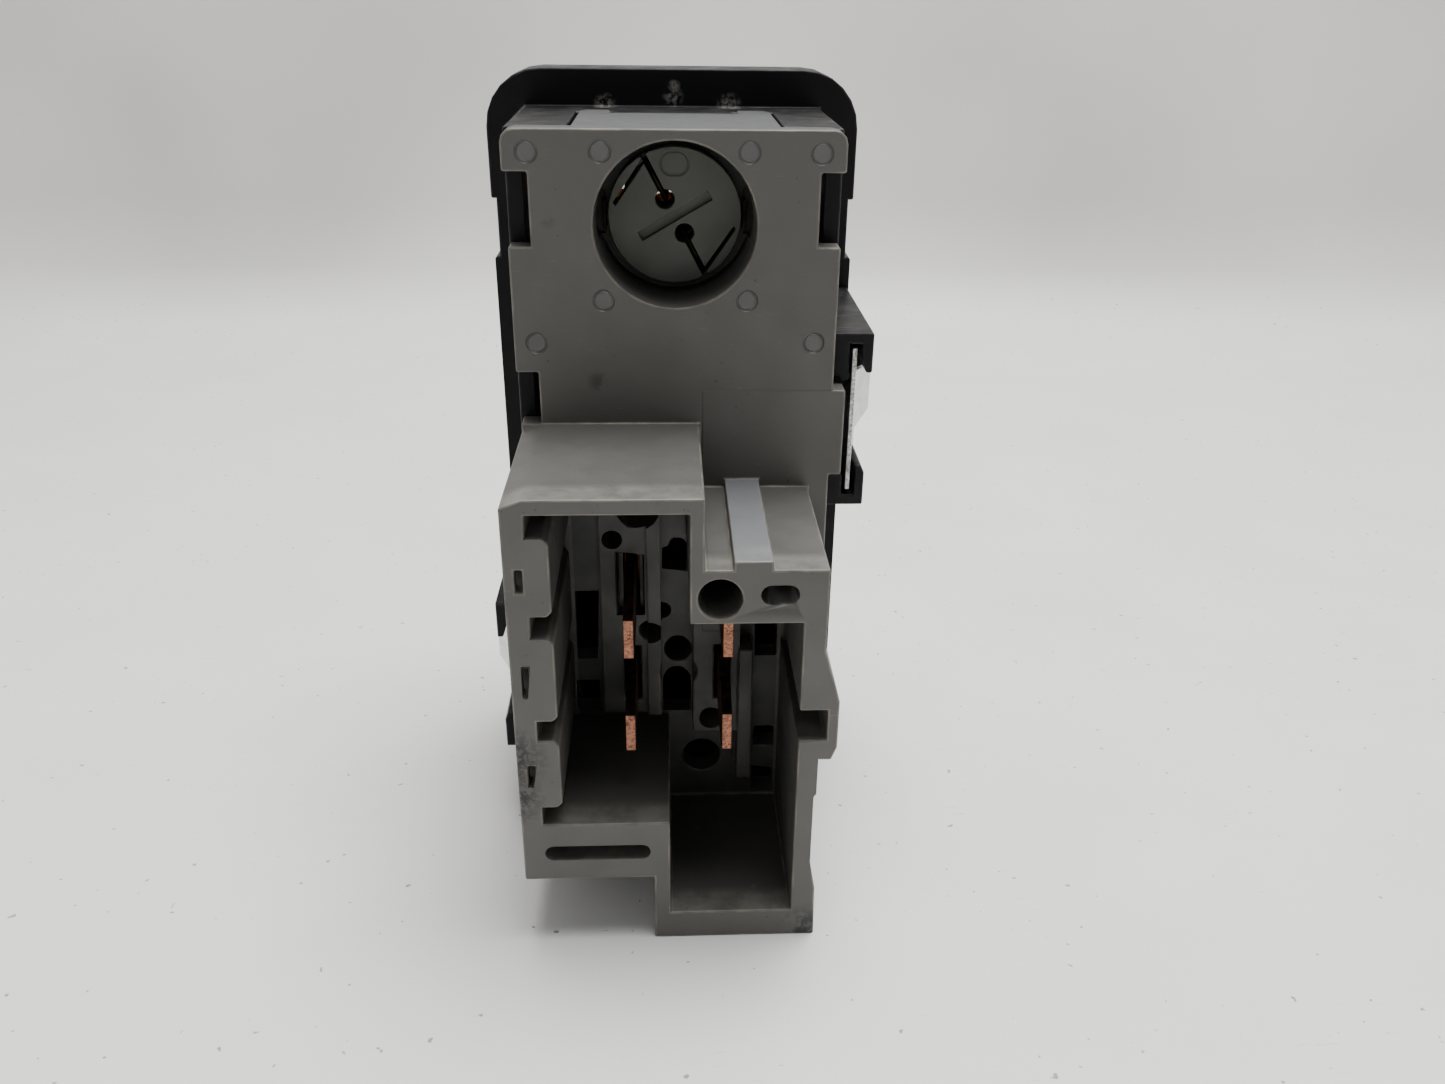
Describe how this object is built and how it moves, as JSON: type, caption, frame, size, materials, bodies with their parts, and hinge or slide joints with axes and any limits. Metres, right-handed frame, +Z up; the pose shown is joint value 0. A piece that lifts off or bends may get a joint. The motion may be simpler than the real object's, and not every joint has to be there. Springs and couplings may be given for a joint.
{
  "type": "dashboard rocker switch",
  "caption": "Illuminated vehicle dashboard rocker switch with rear plug socket, blade terminals, twist-in bulb holder and sprung side clips.",
  "frame": {"origin": "middle of the bounding box at its lowest level, under the bezel's lower edge", "axes": "+Z up along the bezel's long side, +Y towards the driver's side, -Y towards the harness, +X to the right seen from behind"},
  "size_m": [0.0334, 0.044, 0.0661],
  "materials": {
    "black_abs": "fine textured black ABS",
    "grey_polyamide": "moulded light grey polyamide",
    "holder_polyamide": "moulded pale grey polyamide",
    "lamp_contact_copper": "dull stamped copper strip",
    "bulb_glass": "clear lamp glass",
    "lead_wire": "bare lamp wire",
    "tungsten": "drawn tungsten",
    "white_acetal": "white acetal",
    "terminal_copper": "aged copper alloy with bright cut ends",
    "strip_brass": "rolled brass strip",
    "silver_contact": "silver contact rivet",
    "seesaw_copper": "rolled copper strip",
    "rocker_abs": "satin black ABS",
    "amber_lens": "translucent amber acrylic",
    "natural_acetal": "natural acetal",
    "spring_steel": "drawn spring wire",
    "plated_steel": "zinc-plated spring steel"
  },
  "bodies": {
    "housing": {"front_bezel": "black_abs", "rear_cover": "grey_polyamide", "light_tube": "white_acetal", "terminal_upper_left": "terminal_copper", "terminal_upper_right": "terminal_copper", "terminal_lower_left": "terminal_copper", "terminal_lower_right": "terminal_copper", "lamp_strip_left": "strip_brass", "lamp_strip_right": "strip_brass", "contact_rivet_left": "silver_contact", "contact_rivet_right": "silver_contact"},
    "bulb_socket": {"bulb_holder": "holder_polyamide", "bulb_contact_left": "lamp_contact_copper", "bulb_contact_right": "lamp_contact_copper", "bulb_glass": "bulb_glass", "bulb_lead_upper": "lead_wire", "bulb_lead_lower": "lead_wire", "bulb_filament": "tungsten"},
    "rocker": {"rocker": "rocker_abs", "rocker_lens": "amber_lens", "plunger_spring_left": "spring_steel", "plunger_spring_right": "spring_steel"},
    "plunger_left": {"plunger_left": "natural_acetal"},
    "plunger_right": {"plunger_right": "natural_acetal"},
    "seesaw_left": {"contact_seesaw_left": "seesaw_copper"},
    "seesaw_right": {"contact_seesaw_right": "seesaw_copper"},
    "clip_left": {"clip_spring_left": "plated_steel"},
    "clip_right": {"clip_spring_right": "plated_steel"}
  },
  "joints": [
    {"name": "rocker_tilt", "type": "hinge", "parent": "housing", "child": "rocker", "pos_m": [0, 0.00981, 0.03257], "axis": [1, 0, 0], "range_deg": [0, 10]},
    {"name": "seesaw_tilt_left", "type": "hinge", "parent": "housing", "child": "seesaw_left", "pos_m": [-0.0038, -0.00149, 0.03257], "axis": [1, 0, 0], "range_deg": [-10, 0]},
    {"name": "seesaw_tilt_right", "type": "hinge", "parent": "housing", "child": "seesaw_right", "pos_m": [0.0038, -0.00149, 0.03257], "axis": [1, 0, 0], "range_deg": [-10, 0]},
    {"name": "plunger_slide_left", "type": "slide", "parent": "rocker", "child": "plunger_left", "axis": [0, 0.9962, -0.0872], "range_m": [0, 0.0008], "stiffness_N_per_m": 400, "deforming": ["plunger_spring_left"]},
    {"name": "plunger_slide_right", "type": "slide", "parent": "rocker", "child": "plunger_right", "axis": [0, 0.9962, -0.0872], "range_m": [0, 0.0008], "stiffness_N_per_m": 400, "deforming": ["plunger_spring_right"]},
    {"name": "bulb_twist", "type": "hinge", "parent": "housing", "child": "bulb_socket", "pos_m": [0, -0.00219, 0.0563], "axis": [0, 1, 0], "range_deg": [-45, 0]},
    {"name": "clip_press_left", "type": "hinge", "parent": "housing", "child": "clip_left", "pos_m": [-0.01445, -0.00189, 0.0162], "axis": [0, 0, -1], "range_deg": [0, 7], "stiffness_Nm_per_rad": 0.05},
    {"name": "clip_press_right", "type": "hinge", "parent": "housing", "child": "clip_right", "pos_m": [0.01445, -0.00189, 0.0404], "axis": [0, 0, 1], "range_deg": [0, 7], "stiffness_Nm_per_rad": 0.05}
  ],
  "couplings": [
    {"joint": "seesaw_tilt_left", "follows": "rocker_tilt", "ratio": -1},
    {"joint": "seesaw_tilt_right", "follows": "rocker_tilt", "ratio": -1}
  ]
}
